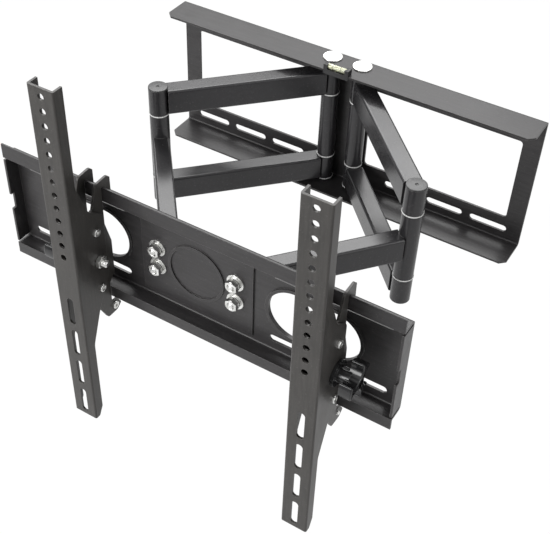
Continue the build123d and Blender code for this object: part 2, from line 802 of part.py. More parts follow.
def vial():
    return side_to_side(vial_diameter, -vial_length / 2, vial_length / 2, vial_y, vial_z)


def save(name, shape):
    solids = shape if isinstance(shape, list) else [shape]
    bodies = [solid for piece in solids for solid in piece.solids()]
    export_step(bodies[0] if len(bodies) == 1 else Compound(children=bodies), f"parts/{name}.step")


def save_side(name, side, x):
    # The left side is the mirror image of the right side
    def put(pieces):
        group = pieces if isinstance(pieces, list) else [pieces]
        return [Pos(x, 0, 0) * (piece if side > 0 else mirrored(piece)) for piece in group]

    save(f"{name}_tilt_bracket", put(tilt_bracket()))
    save(f"{name}_rail", put(rail()))
    save(f"{name}_guide_bolts", put(guide_bolts()))
    save(f"{name}_guide_nuts", put(guide_nuts()))
    save(f"{name}_tilt_washers", put(tilt_washers()))
    save(f"{name}_lock_bolt", put(lock_bolt()))
    save(f"{name}_lock_nut", put(lock_nut()))
    save(f"{name}_tilt_knob", put(knob()))
    save(f"{name}_safety_screw", put(safety_screw()))


os.makedirs("parts", exist_ok=True)
save("wall_plate", wall_plate())
save("hub_sleeves", hub_sleeves())
save("hub_bolts", hub_bolts())
save("hub_nuts", hub_nuts())
save("hub_spacers", hub_spacers())
save("level_cradle", vial_cradle())
save("level_vial", vial())
for (side_name, side) in (("left", -1), ("right", 1)):
    save(f"{side_name}_upper_rear_bar", rear_bars(side, 1))
    save(f"{side_name}_lower_rear_bar", rear_bars(side, -1))
    save(f"{side_name}_hub_bushes", hub_bushes(side))
    save(f"{side_name}_hub_washers", hub_washers(side))
    save(f"{side_name}_elbow_pin", elbow_pin(side))
    save(f"{side_name}_elbow_caps", elbow_caps(side))
    save(f"{side_name}_elbow_bushes", elbow_bushes(side))
    save(f"{side_name}_front_arm", front_arm_place(side) * front_arm())
    save(f"{side_name}_head_bush", head_bush(side))
    save(f"{side_name}_head_pin", head_pin(side))
save("head_bracket", head_bracket())
save("head_washers", head_washers())
save("front_plate", front_plate())
save("level_bolts", at_level_bolts(level_bolt))
save("level_washers", at_level_bolts(level_washer))
save("spring_washers", at_level_bolts(spring_washer))
save("level_nuts", at_level_bolts(level_nut))
save_side("left", -1, left_bracket_x)
save_side("right", 1, right_bracket_x)
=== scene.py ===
import json
import math
import bmesh
import bpy
from mathutils import Matrix, Vector


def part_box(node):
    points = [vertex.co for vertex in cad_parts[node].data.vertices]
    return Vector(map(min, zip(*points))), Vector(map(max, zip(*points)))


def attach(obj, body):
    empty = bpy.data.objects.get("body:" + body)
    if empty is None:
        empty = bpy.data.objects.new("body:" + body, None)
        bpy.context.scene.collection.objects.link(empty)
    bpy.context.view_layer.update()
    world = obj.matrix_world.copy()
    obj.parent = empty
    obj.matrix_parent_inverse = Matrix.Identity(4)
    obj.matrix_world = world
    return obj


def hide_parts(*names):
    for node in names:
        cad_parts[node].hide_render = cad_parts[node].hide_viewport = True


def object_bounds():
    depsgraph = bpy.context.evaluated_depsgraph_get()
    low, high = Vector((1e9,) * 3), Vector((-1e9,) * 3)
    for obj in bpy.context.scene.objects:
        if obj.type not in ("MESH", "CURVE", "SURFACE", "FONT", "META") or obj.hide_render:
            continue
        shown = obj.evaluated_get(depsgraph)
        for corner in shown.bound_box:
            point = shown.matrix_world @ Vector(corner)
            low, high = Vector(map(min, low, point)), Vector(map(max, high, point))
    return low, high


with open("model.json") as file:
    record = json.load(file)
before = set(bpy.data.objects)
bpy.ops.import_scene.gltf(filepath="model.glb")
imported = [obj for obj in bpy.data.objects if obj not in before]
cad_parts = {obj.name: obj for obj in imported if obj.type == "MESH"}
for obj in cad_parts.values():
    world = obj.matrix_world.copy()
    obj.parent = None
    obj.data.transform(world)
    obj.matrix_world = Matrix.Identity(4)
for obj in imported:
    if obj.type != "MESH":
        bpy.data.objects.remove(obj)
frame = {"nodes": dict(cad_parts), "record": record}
cad_low, cad_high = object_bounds()

# Lengths are in metres, so MM turns millimetres into them
MM = 0.001
MERGE = 0.002 * MM

# How finely round pieces are turned
TURNED_STEPS = 40
THREAD_STEPS = 18
HEAD_STEPS = 36
SPRING_STEPS = 36

# Bolts, nuts and screws
HALF_SECTOR = math.pi / 6
NUT_CHAMFER = math.radians(30)
NUT_BORE_CHAMFER = 0.5 * MM
M8 = 8.0 * MM
M12 = 12.0 * MM
HUB_THREAD = 12.2 * MM
SMALL_SCREW = 5.0 * MM
SMALL_PITCH = 0.8 * MM
COARSE_PITCH = 1.25 * MM
WIDE_PITCH = 1.75 * MM
HEAD_ROUND = 0.9 * MM
LEVEL_HEAD_HEIGHT = 3.0 * MM
SCREW_HEAD_HEIGHT = 2.6 * MM
SOCKET_SHARE = 0.42
SOCKET_DEPTH_SHARE = 0.7
SOCKET_MOUTH_SHARE = 1.35
SOCKET_CHAMFER = 0.3 * MM
PLAIN_SHANK_SHARE = 0.55
THREADED_SCREW_SHARE = 0.35
SCREW_OVERLAP_SHARE = 0.3
BOLT_PLAY = 0.25 * MM

# Split spring washers
SPRING_WIRE_SHARE = 0.72
SPRING_GAP = math.radians(16)
SPRING_PLAY = 0.1 * MM

# Elbow caps
LID_PLUG = 6.0 * MM
LID_EDGE = 0.3 * MM
LID_ROUND = 0.8 * MM
CAP_DIMPLE = 1.6 * MM
DIMPLE_DEPTH = 0.9 * MM
CAP_REACH = 20 * MM

# Spirit level
VIAL_WALL = 0.3 * MM
VIAL_ROUND = 1.2 * MM
VIAL_END = 0.6 * MM
VIAL_LINE = 0.3 * MM
LINE_SINK = 0.3 * MM
LINE_PROUD = 0.05 * MM
LINE_GAP = 1.0 * MM
LIQUID_END_SHARE = 0.8
BUBBLE_LENGTH = 7.5 * MM
BUBBLE_WIDTH_SHARE = 0.55
BUBBLE_HEIGHT_SHARE = 0.4
BUBBLE_RISE_SHARE = 0.72

# Light and floor
WORLD_LIGHT = 0.24
FLOOR_HALF = 8.0
FLOOR_DROP = 0.45
FLOOR_GREY = (0.86, 0.86, 0.86, 1.0)
FLOOR_GLOW = 1.02
FLOOR_GLOW_SHARE = 0.95
WHITE = (1.0, 1.0, 1.0, 1.0)

# The camera, fitted to the photograph: its place, angles in radians, and focal length and centre in pixels
PICTURE_WIDTH = 550
PICTURE_HEIGHT = 534
CAMERA_PLACE = Vector((0.4555, -0.9541, 0.7175))
CAMERA_AZIMUTH = 0.5422
CAMERA_ELEVATION = 0.7408
CAMERA_ROLL = 0.0275
FOCAL_PIXELS = 1034.7
MIDDLE_X = 260.5
MIDDLE_Y = 265.5
SENSOR = 36.0


def add(tree, kind, inputs=None, **settings):
    made = tree.nodes.new(kind)
    for (name, value) in settings.items():
        setattr(made, name, value)
    for (name, value) in (inputs or {}).items():
        if isinstance(value, bpy.types.NodeSocket):
            tree.links.new(value, made.inputs[name])
        else:
            made.inputs[name].default_value = value
    return made


def start_group(name, inputs, outputs):
    group = bpy.data.node_groups.new(name, "ShaderNodeTree")
    for (label, kind, value) in inputs:
        socket = group.interface.new_socket(name=label, in_out="INPUT", socket_type=kind)
        socket.default_value = value
    for (label, kind) in outputs:
        group.interface.new_socket(name=label, in_out="OUTPUT", socket_type=kind)
    return group, add(group, "NodeGroupInput"), add(group, "NodeGroupOutput")


def math_node(tree, operation, first, second=0.0):
    made = add(tree, "ShaderNodeMath", {0: first, 1: second}, operation=operation)
    return made.outputs[0]


def ranged(tree, value, low, high, to_low, to_high):
    made = add(tree, "ShaderNodeMapRange", {"Value": value, "From Min": low, "From Max": high,
                                            "To Min": to_low, "To Max": to_high})
    return made.outputs["Result"]


def mixed_colour(tree, share, first, second):
    made = add(tree, "ShaderNodeMix", {"Factor": share, 6: first, 7: second}, data_type="RGBA")
    return made.outputs[2]


def soft_edges():
    # Rounds the normals near sharp edges and says how near an edge a point is; the materials paint a
    # highlight along edges with this
    group, given, made = start_group(
        "soft_edges",
        [("Radius", "NodeSocketFloat", 0.0006)],
        [("Edge", "NodeSocketFloat"), ("Normal", "NodeSocketVector")])
    rounded = add(group, "ShaderNodeBevel", {"Radius": given.outputs["Radius"]}, samples=6)
    flat = add(group, "ShaderNodeNewGeometry")
    turn = add(group, "ShaderNodeVectorMath", {0: rounded.outputs[0], 1: flat.outputs["Normal"]},
               operation="DOT_PRODUCT")
    edge = ranged(group, turn.outputs["Value"], 0.995, 0.8, 0.0, 1.0)
    group.links.new(edge, made.inputs["Edge"])
    group.links.new(rounded.outputs[0], made.inputs["Normal"])
    return group


def coat_grain():
    # The fine orange peel of a baked powder coat, with broad patches of slightly different gloss
    group, given, made = start_group(
        "coat_grain",
        [("Grain", "NodeSocketFloat", 1500.0), ("Patch", "NodeSocketFloat", 16.0),
         ("Stretch", "NodeSocketVector", (1.0, 1.0, 1.0))],
        [("Height", "NodeSocketFloat"), ("Patches", "NodeSocketFloat"), ("Dust", "NodeSocketFloat"),
         ("Streaks", "NodeSocketFloat")])
    place = add(group, "ShaderNodeTexCoord").outputs["Object"]
    fine = add(group, "ShaderNodeTexNoise", {"Vector": place, "Scale": given.outputs["Grain"],
                                             "Detail": 2.0, "Roughness": 0.6})
    broad = add(group, "ShaderNodeTexNoise", {"Vector": place, "Scale": given.outputs["Patch"],
                                              "Detail": 4.0, "Roughness": 0.62})
    specks = add(group, "ShaderNodeTexNoise", {"Vector": place, "Scale": 520.0, "Detail": 1.0})
    dust = ranged(group, specks.outputs["Fac"], 0.66, 0.74, 0.0, 1.0)
    drawn = add(group, "ShaderNodeVectorMath", {0: place, 1: given.outputs["Stretch"]}, operation="MULTIPLY")
    lines = add(group, "ShaderNodeTexNoise", {"Vector": drawn.outputs[0], "Scale": 330.0, "Detail": 3.0,
                                              "Roughness": 0.65})
    streaks = ranged(group, lines.outputs["Fac"], 0.34, 0.66, 0.0, 1.0)
    group.links.new(streaks, made.inputs["Streaks"])
    group.links.new(fine.outputs["Fac"], made.inputs["Height"])
    group.links.new(broad.outputs["Fac"], made.inputs["Patches"])
    group.links.new(dust, made.inputs["Dust"])
    return group


def plate_grain():
    # Fine turning marks and faint clouding of bright zinc plate
    group, given, made = start_group(
        "plate_grain",
        [("Grain", "NodeSocketFloat", 900.0)],
        [("Height", "NodeSocketFloat"), ("Clouds", "NodeSocketFloat")])
    place = add(group, "ShaderNodeTexCoord").outputs["Object"]
    fine = add(group, "ShaderNodeTexNoise", {"Vector": place, "Scale": given.outputs["Grain"],
                                             "Detail": 3.0, "Roughness": 0.7})
    clouds = add(group, "ShaderNodeTexNoise", {"Vector": place, "Scale": 140.0, "Detail": 3.0})
    group.links.new(fine.outputs["Fac"], made.inputs["Height"])
    group.links.new(clouds.outputs["Fac"], made.inputs["Clouds"])
    return group


def start_material(name):
    material = bpy.data.materials.new(name)
    material.use_nodes = True
    tree = material.node_tree
    return material, tree, tree.nodes["Principled BSDF"]


def coated_steel(name, colour, dull, grain, depth, stretch, streak, shine):
    # Powder-coated steel: dull is its roughness, shine its reflection, and stretch draws out the streaks
    material, tree, surface = start_material(name)
    surface.inputs["Specular IOR Level"].default_value = shine
    edges = add(tree, "ShaderNodeGroup", node_tree=EDGES)
    edges.inputs["Radius"].default_value = 0.5 * MM
    coat = add(tree, "ShaderNodeGroup", node_tree=COAT)
    coat.inputs["Grain"].default_value = grain
    coat.inputs["Stretch"].default_value = stretch
    cloud = ranged(tree, coat.outputs["Patches"], 0.3, 0.7, 0.86, 1.14)
    streaked = ranged(tree, coat.outputs["Streaks"], 0.0, 1.0, 1 - streak, 1 + streak)
    shade = math_node(tree, "MULTIPLY", cloud, streaked)
    varied = add(tree, "ShaderNodeVectorMath", {0: colour[:3], "Scale": shade}, operation="SCALE")
    dusted = mixed_colour(tree, math_node(tree, "MULTIPLY", coat.outputs["Dust"], DUST_SHARE),
                          varied.outputs[0], DUST)
    # Painted highlight: a pale grey is mixed in along sharp edges, standing in for the light that rounded
    # edges catch
    lit = mixed_colour(tree, math_node(tree, "MULTIPLY", edges.outputs["Edge"], 0.55), dusted, EDGE_HIGHLIGHT_PAINT)
    wear_and_edge_highlight = ranged(tree, coat.outputs["Patches"], 0.3, 0.7, dull - 0.035, dull + 0.035)
    uneven = ranged(tree, coat.outputs["Streaks"], 0.0, 1.0, -streak / 5, streak / 5)
    rough = math_node(tree, "ADD", wear_and_edge_highlight, uneven)
    bump = add(tree, "ShaderNodeBump", {"Strength": 0.6, "Distance": depth, "Height": coat.outputs["Height"],
                                        "Normal": edges.outputs["Normal"]})
    tree.links.new(lit, surface.inputs["Base Color"])
    tree.links.new(rough, surface.inputs["Roughness"])
    tree.links.new(bump.outputs[0], surface.inputs["Normal"])
    return material


def zinc_plate(name, colour, dull):
    material, tree, surface = start_material(name)
    edges = add(tree, "ShaderNodeGroup", node_tree=EDGES)
    edges.inputs["Radius"].default_value = 0.35 * MM
    plate = add(tree, "ShaderNodeGroup", node_tree=PLATE)
    warm = mixed_colour(tree, ranged(tree, plate.outputs["Clouds"], 0.35, 0.65, 0.0, 1.0),
                        colour, (colour[0] * 0.86, colour[1] * 0.86, colour[2] * 0.84, 1.0))
    rough = ranged(tree, plate.outputs["Clouds"], 0.3, 0.7, dull, dull + 0.12)
    bump = add(tree, "ShaderNodeBump", {"Strength": 0.35, "Distance": 0.02 * MM,
                                        "Height": plate.outputs["Height"], "Normal": edges.outputs["Normal"]})
    surface.inputs["Metallic"].default_value = 1.0
    tree.links.new(warm, surface.inputs["Base Color"])
    tree.links.new(rough, surface.inputs["Roughness"])
    tree.links.new(bump.outputs[0], surface.inputs["Normal"])
    return material


def moulded(name, colour, wear_and_edge_highlight, dull, depth):
    material, tree, surface = start_material(name)
    edges = add(tree, "ShaderNodeGroup", node_tree=EDGES)
    edges.inputs["Radius"].default_value = 0.4 * MM
    grain = add(tree, "ShaderNodeGroup", node_tree=COAT)
    grain.inputs["Grain"].default_value = 2400.0
    # Painted highlight: the second colour is mixed in along sharp edges, standing in for the light that
    # rounded edges catch
    lit = mixed_colour(tree, math_node(tree, "MULTIPLY", edges.outputs["Edge"], 0.4), colour, wear_and_edge_highlight)
    rough = ranged(tree, grain.outputs["Patches"], 0.3, 0.7, dull - 0.04, dull + 0.05)
    bump = add(tree, "ShaderNodeBump", {"Strength": 0.4, "Distance": depth, "Height": grain.outputs["Height"],
                                        "Normal": edges.outputs["Normal"]})
    tree.links.new(lit, surface.inputs["Base Color"])
    tree.links.new(rough, surface.inputs["Roughness"])
    tree.links.new(bump.outputs[0], surface.inputs["Normal"])
    return material


def clear_tube():
    material, tree, surface = start_material("clear_vial")
    surface.inputs["Base Color"].default_value = (0.97, 0.99, 0.93, 1.0)
    surface.inputs["Transmission Weight"].default_value = 1.0
    surface.inputs["IOR"].default_value = 1.46
    grain = add(tree, "ShaderNodeGroup", node_tree=COAT)
    rough = ranged(tree, grain.outputs["Patches"], 0.3, 0.7, 0.03, 0.07)
    tree.links.new(rough, surface.inputs["Roughness"])
    return material


def tinted_liquid():
    material, tree, surface = start_material("tinted_liquid")
    grain = add(tree, "ShaderNodeGroup", node_tree=COAT)
    tint = mixed_colour(tree, ranged(tree, grain.outputs["Patches"], 0.3, 0.7, 0.0, 1.0),
                        (0.90, 0.90, 0.68, 1.0), (0.95, 0.95, 0.80, 1.0))
    tree.links.new(tint, surface.inputs["Base Color"])
    surface.inputs["Roughness"].default_value = 0.12
    surface.inputs["Transmission Weight"].default_value = 0.08
    return material


EDGES = soft_edges()
COAT = coat_grain()
PLATE = plate_grain()
# The pale grey of the painted edge highlight on the coats
EDGE_HIGHLIGHT_PAINT = (0.34, 0.33, 0.32, 1.0)
DUST = (0.30, 0.29, 0.28, 1.0)
DUST_SHARE = 0.10
SHEET_COAT = coated_steel("satin_sheet_coat", colour=(0.038, 0.036, 0.037, 1.0), dull=0.36, grain=1300.0,
                          depth=0.014 * MM, stretch=(0.08, 1.0, 1.0), streak=0.18, shine=0.36)
TUBE_COAT = coated_steel("satin_tube_coat", colour=(0.027, 0.026, 0.028, 1.0), dull=0.24, grain=1500.0,
                         depth=0.007 * MM, stretch=(0.7, 0.7, 0.7), streak=0.06, shine=0.45)
RAIL_COAT = coated_steel("satin_rail_coat", colour=(0.048, 0.045, 0.042, 1.0), dull=0.38, grain=1200.0,
                         depth=0.014 * MM, stretch=(1.0, 1.0, 0.10), streak=0.18, shine=0.36)
ZINC = zinc_plate("bright_zinc", (0.80, 0.80, 0.79, 1.0), 0.24)
# In each moulded finish the second colour is the painted edge highlight
NYLON = moulded("natural_nylon", (0.86, 0.86, 0.85, 1.0), (0.92, 0.92, 0.91, 1.0), 0.42, 0.02 * MM)
CAP_PLASTIC = moulded("cap_plastic", (0.034, 0.034, 0.035, 1.0), (0.20, 0.20, 0.20, 1.0), 0.36, 0.03 * MM)
KNOB_PLASTIC = moulded("knob_plastic", (0.016, 0.016, 0.017, 1.0), (0.16, 0.16, 0.16, 1.0), 0.18, 0.02 * MM)
CLEAR = clear_tube()
LIQUID = tinted_liquid()
LINE_INK = moulded("vial_line", (0.10, 0.11, 0.07, 1.0), (0.14, 0.15, 0.10, 1.0), 0.5, 0.01 * MM)

TUBE_WORDS = ("rear_bar", "front_arm", "hub_sleeves", "hub_spacers")
RAIL_WORDS = ("_rail", "tilt_bracket")


def finish_for(name, slot):
    if slot == "zinc_plated_steel":
        return ZINC
    if slot == "white_nylon":
        return NYLON
    if slot == "vial":
        return LIQUID
    if slot == "black_plastic":
        return KNOB_PLASTIC if "knob" in name else CAP_PLASTIC
    if name == "level_cradle":
        return KNOB_PLASTIC
    if any(word in name for word in TUBE_WORDS):
        return TUBE_COAT
    if any(word in name for word in RAIL_WORDS):
        return RAIL_COAT
    return SHEET_COAT


def finish_nodes():
    for row in frame["record"]["subparts"]:
        name = row["node"]
        mesh = frame["nodes"][name].data
        material = finish_for(name, row["material_slot"])
        if not mesh.materials:
            mesh.materials.append(material)
        for place in range(len(mesh.materials)):
            mesh.materials[place] = material


def solids_of(name):
    # The box of each separate solid in a node, in a fixed order
    bm = bmesh.new()
    bm.from_mesh(frame["nodes"][name].data)
    bmesh.ops.remove_doubles(bm, verts=bm.verts, dist=MERGE)
    seen = set()
    boxes = []
    for start in bm.verts:
        if start in seen:
            continue
        seen.add(start)
        waiting = [start]
        points = []
        while waiting:
            vertex = waiting.pop()
            points.append(vertex.co.copy())
            for edge in vertex.link_edges:
                other = edge.other_vert(vertex)
                if other not in seen:
                    seen.add(other)
                    waiting.append(other)
        low = Vector([min(point[i] for point in points) for i in range(3)])
        high = Vector([max(point[i] for point in points) for i in range(3)])
        boxes.append((low, high))
    bm.free()
    return sorted(boxes, key=lambda box: tuple(round(x, 5) for x in box[0]))


def keep_piece(bm, name, material, body, replaced=(), smooth=35):
    mesh = bpy.data.meshes.new(name)
    bmesh.ops.recalc_face_normals(bm, faces=bm.faces)
    bm.to_mesh(mesh)
    bm.free()
    mesh.materials.append(material)
    mesh.shade_smooth()
    mesh.set_sharp_from_angle(angle=math.radians(smooth))
    piece = bpy.data.objects.new(name, mesh)
    bpy.context.scene.collection.objects.link(piece)
    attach(piece, body)
    if replaced:
        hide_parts(*replaced)
    return piece


def join(into, bm):
    # Adds a finished shape to another and frees it
    mesh = bpy.data.meshes.new("part")
    bm.to_mesh(mesh)
    bm.free()
    into.from_mesh(mesh)
    bpy.data.meshes.remove(mesh)


def turned(profile, closed=False, steps=TURNED_STEPS):
    # Spins an outline of (radius, height) points about the Z axis
    bm = bmesh.new()
    points = [bm.verts.new((radius, 0, height)) for (radius, height) in profile]
    pairs = list(zip(points, points[1:]))
    if closed:
        pairs.append((points[-1], points[0]))
    lines = [bm.edges.new(pair) for pair in pairs]
    bmesh.ops.spin(bm, geom=points + lines, cent=(0, 0, 0), axis=(0, 0, 1), angle=2 * math.pi,
                   steps=steps, use_merge=True)
    bmesh.ops.remove_doubles(bm, verts=bm.verts, dist=MERGE)
    return bm


def arc(middle, radius, start, end, count):
    # Points on a round corner of a turned outline, angles in degrees from the radius direction
    turns = [math.radians(start + (end - start) * i / count) for i in range(count + 1)]
    return [(middle[0] + radius * math.cos(t), middle[1] + radius * math.sin(t)) for t in turns]


def thread(diameter, pitch, low, high):
    # A closed ridge wound round the shank between two heights
    depth = 0.6 * pitch
    root = diameter / 2 - depth
    turns = (high - low) / pitch - 1
    bm = bmesh.new()
    corners = [(root, low), (root + depth, low + pitch * 0.44), (root + depth, low + pitch * 0.56),
               (root, low + pitch)]
    points = [bm.verts.new((radius, 0, height)) for (radius, height) in corners]
    lines = [bm.edges.new(pair) for pair in zip(points, points[1:] + points[:1])]
    steps = max(2, round(turns * THREAD_STEPS))
    bmesh.ops.contextual_create(bm, geom=lines)
    bmesh.ops.spin(bm, geom=points + lines, cent=(0, 0, 0), axis=(0, 0, 1), angle=2 * math.pi * turns,
                   steps=steps, dvec=(0, 0, pitch * turns / steps))
    ends = [edge for edge in bm.edges if edge.is_boundary]
    bmesh.ops.holes_fill(bm, edges=ends, sides=4)
    return bm


def threaded_end(diameter, pitch, low, high):
    # The root cylinder with a chamfered tip at the high end, and its thread
    root = diameter / 2 - 0.55 * pitch
    tip = 0.6 * pitch
    bm = turned([(0, low), (root, low), (root, high - tip), (root - tip, high), (0, high)])
    join(bm, thread(diameter, pitch, low, high - tip * 0.5))
    return bm


def hex_block(across, height, hole):
    # A hexagon with 30 degree chamfers on both faces, bored through
    bm = bmesh.new()
    inner = across / 2
    corner = inner / math.cos(HALF_SECTOR)
    bmesh.ops.create_cone(bm, cap_ends=False, segments=6, radius1=corner, radius2=corner, depth=height)
    rims = [edge for edge in bm.edges if abs(edge.verts[0].co.z - edge.verts[1].co.z) < MERGE]
    bmesh.ops.subdivide_edges(bm, edges=rims, cuts=6, use_grid_fill=True)
    for vertex in bm.verts:
        beyond = math.hypot(vertex.co.x, vertex.co.y) - inner * 0.97
        vertex.co.z -= math.copysign(beyond * math.tan(NUT_CHAMFER), vertex.co.z)
    for side in (-1, 1):
        rim = [edge for edge in bm.edges if edge.is_boundary and edge.verts[0].co.z * side > 0]
        for (radius, level) in ((inner * 0.95, height / 2), (hole / 2 + NUT_BORE_CHAMFER, height / 2),
                                (hole / 2, height / 2 - NUT_BORE_CHAMFER)):
            grown = bmesh.ops.extrude_edge_only(bm, edges=rim)["geom"]
            rim = [item for item in grown if isinstance(item, bmesh.types.BMEdge)]
            for vertex in {v for edge in rim for v in edge.verts}:
                flat = Vector((vertex.co.x, vertex.co.y)).normalized() * radius
                vertex.co = (flat.x, flat.y, side * level)
    holes = [edge for edge in bm.edges if edge.is_boundary]
    bmesh.ops.bridge_loops(bm, edges=holes)
    return bm


def socket_head(diameter, height, socket, depth):
    # A round head with a hexagon socket sunk in its top
    rim = arc((diameter / 2 - HEAD_ROUND, height - HEAD_ROUND), HEAD_ROUND, 0, 90, 4)
    bm = turned([(0, 0), (diameter / 2, 0)] + rim, steps=HEAD_STEPS)
    edge = [line for line in bm.edges if line.is_boundary]
    for (radius, level, sides) in ((socket / 2 * SOCKET_MOUTH_SHARE, height, HEAD_STEPS),
                                   (socket / 2, height - SOCKET_CHAMFER, 6), (socket / 2, height - depth, 6)):
        grown = bmesh.ops.extrude_edge_only(bm, edges=edge)["geom"]
        edge = [item for item in grown if isinstance(item, bmesh.types.BMEdge)]
        for vertex in {v for line in edge for v in line.verts}:
            turn = math.atan2(vertex.co.y, vertex.co.x)
            sector = 2 * math.pi / sides
            nearest = round(turn / sector) * sector
            reach = radius / math.cos(turn - nearest) if sides == 6 else radius
            vertex.co = (reach * math.cos(turn), reach * math.sin(turn), level)
    bmesh.ops.contextual_create(bm, geom=edge)
    return bm


def screw_head(diameter):
    # The head that all the small socket screws share
    return socket_head(diameter, SCREW_HEAD_HEIGHT, diameter * SOCKET_SHARE,
                       SCREW_HEAD_HEIGHT * SOCKET_DEPTH_SHARE)


def rod(radius, low, high):
    return turned([(0, low), (radius, low), (radius, high), (0, high)])


def edge_up(nut):
    # Turns a nut so that one of its edges stands up and not a flat
    bmesh.ops.rotate(nut, verts=nut.verts, cent=(0, 0, 0), matrix=Matrix.Rotation(HALF_SECTOR, 3, "Z"))
    return nut


def aim(bm, middle, direction):
    # Turns a shape made along Z to lie along a direction, and puts its origin at a point
    turn = Vector((0, 0, 1)).rotation_difference(Vector(direction)).to_matrix().to_4x4()
    bmesh.ops.transform(bm, matrix=Matrix.Translation(middle) @ turn, verts=bm.verts)
    return bm


def centre(box):
    return (box[0] + box[1]) / 2


def level_hardware():
    # Four bolts through the head and the front plate, each with a nut and a split spring washer
    bolts = bmesh.new()
    nuts = bmesh.new()
    springs = bmesh.new()
    nut_boxes = solids_of("level_nuts")
    for (box, nut_box, spring_box) in zip(solids_of("level_bolts"), nut_boxes, solids_of("spring_washers")):
        middle = centre(box)
        head_radius = (box[1].x - box[0].x) / 2
        back = box[1].y
        length = back - box[0].y
        head = turned([(0, 0), (head_radius - HEAD_ROUND, 0)]
                      + arc((head_radius - HEAD_ROUND, HEAD_ROUND), HEAD_ROUND, -90, 0, 4)
                      + [(head_radius, LEVEL_HEAD_HEIGHT), (0, LEVEL_HEAD_HEIGHT)])
        join(head, threaded_end(M8, COARSE_PITCH, LEVEL_HEAD_HEIGHT, length))
        join(bolts, aim(head, Vector((middle.x, back, middle.z)), (0, -1, 0)))
        nut = hex_block(nut_box[1].z - nut_box[0].z, nut_box[1].y - nut_box[0].y, M8)
        join(nuts, aim(nut, centre(nut_box), (0, -1, 0)))
        join(springs, split_washer(spring_box, M8))
    keep_piece(bolts, "level_bolts_threaded", ZINC, "head", ["level_bolts"])
    keep_piece(nuts, "level_nuts_chamfered", ZINC, "head", ["level_nuts"])
    keep_piece(springs, "spring_washers_split", ZINC, "head", ["spring_washers"])


def split_washer(box, hole):
    # One turn of square wire, a little sprung at the cut
    outer = (box[1].z - box[0].z) / 2
    inner = hole / 2 + SPRING_PLAY
    thickness = box[1].y - box[0].y
    wire = thickness * SPRING_WIRE_SHARE
    rise = thickness - wire
    bm = bmesh.new()
    corners = [(inner, 0), (outer, 0), (outer, wire), (inner, wire)]
    points = [bm.verts.new((radius, 0, height)) for (radius, height) in corners]
    lines = [bm.edges.new(pair) for pair in zip(points, points[1:] + points[:1])]
    bmesh.ops.contextual_create(bm, geom=lines)
    bmesh.ops.spin(bm, geom=points + lines, cent=(0, 0, 0), axis=(0, 0, 1), angle=2 * math.pi - SPRING_GAP,
                   steps=SPRING_STEPS, dvec=(0, 0, rise / SPRING_STEPS))
    open_edges = [edge for edge in bm.edges if edge.is_boundary]
    bmesh.ops.holes_fill(bm, edges=open_edges, sides=4)
    middle = centre(box)
    return aim(bm, Vector((middle.x, box[1].y, middle.z)), (0, -1, 0))


def guide_hardware(side):
    # Short socket screws on both flanges of a rail, with thin nuts inside
    screws = bmesh.new()
    nuts = bmesh.new()
    rail_middle = centre(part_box(f"{side}_rail")).x
    for box in solids_of(f"{side}_guide_bolts"):
        middle = centre(box)
        outward = 1 if middle.x > rail_middle else -1
        outer = box[1].x if outward > 0 else box[0].x
        seat = outer - outward * SCREW_HEAD_HEIGHT
        length = box[1].x - box[0].x - SCREW_HEAD_HEIGHT
        screw = screw_head(box[1].z - box[0].z)
        join(screw, rod(SMALL_SCREW / 2, -length, 0))
        join(screws, aim(screw, Vector((seat, middle.y, middle.z)), (outward, 0, 0)))
    for box in solids_of(f"{side}_guide_nuts"):
        nut = hex_block(box[1].y - box[0].y, box[1].x - box[0].x, SMALL_SCREW)
        join(nuts, aim(edge_up(nut), centre(box), (1, 0, 0)))
    body = f"{side}_rail"
    keep_piece(screws, f"{side}_guide_screws", ZINC, body, [f"{side}_guide_bolts"])
    keep_piece(nuts, f"{side}_guide_nuts_chamfered", ZINC, body, [f"{side}_guide_nuts"])


def lock_hardware(side):
    # The tilt bolt, plain where the knob turns on it, and its nut on the inner side of the rail
    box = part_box(f"{side}_lock_bolt")
    nut_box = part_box(f"{side}_lock_nut")
    middle = centre(box)
    inward = 1 if centre(nut_box).x > middle.x else -1
    start = (box[0].x if inward > 0 else box[1].x) + inward * BOLT_PLAY
    length = box[1].x - box[0].x - BOLT_PLAY
    plain = length * PLAIN_SHANK_SHARE
    bolt = rod((M8 - BOLT_PLAY) / 2, 0, plain)
    join(bolt, threaded_end(M8, COARSE_PITCH, plain, length))
    aim(bolt, Vector((start, middle.y, middle.z)), (inward, 0, 0))
    nut = hex_block(nut_box[1].y - nut_box[0].y, nut_box[1].x - nut_box[0].x, M8)
    aim(edge_up(nut), centre(nut_box), (inward, 0, 0))
    body = f"{side}_bracket"
    keep_piece(bolt, f"{side}_lock_bolt_threaded", ZINC, body, [f"{side}_lock_bolt"])
    keep_piece(nut, f"{side}_lock_nut_chamfered", ZINC, body, [f"{side}_lock_nut"])


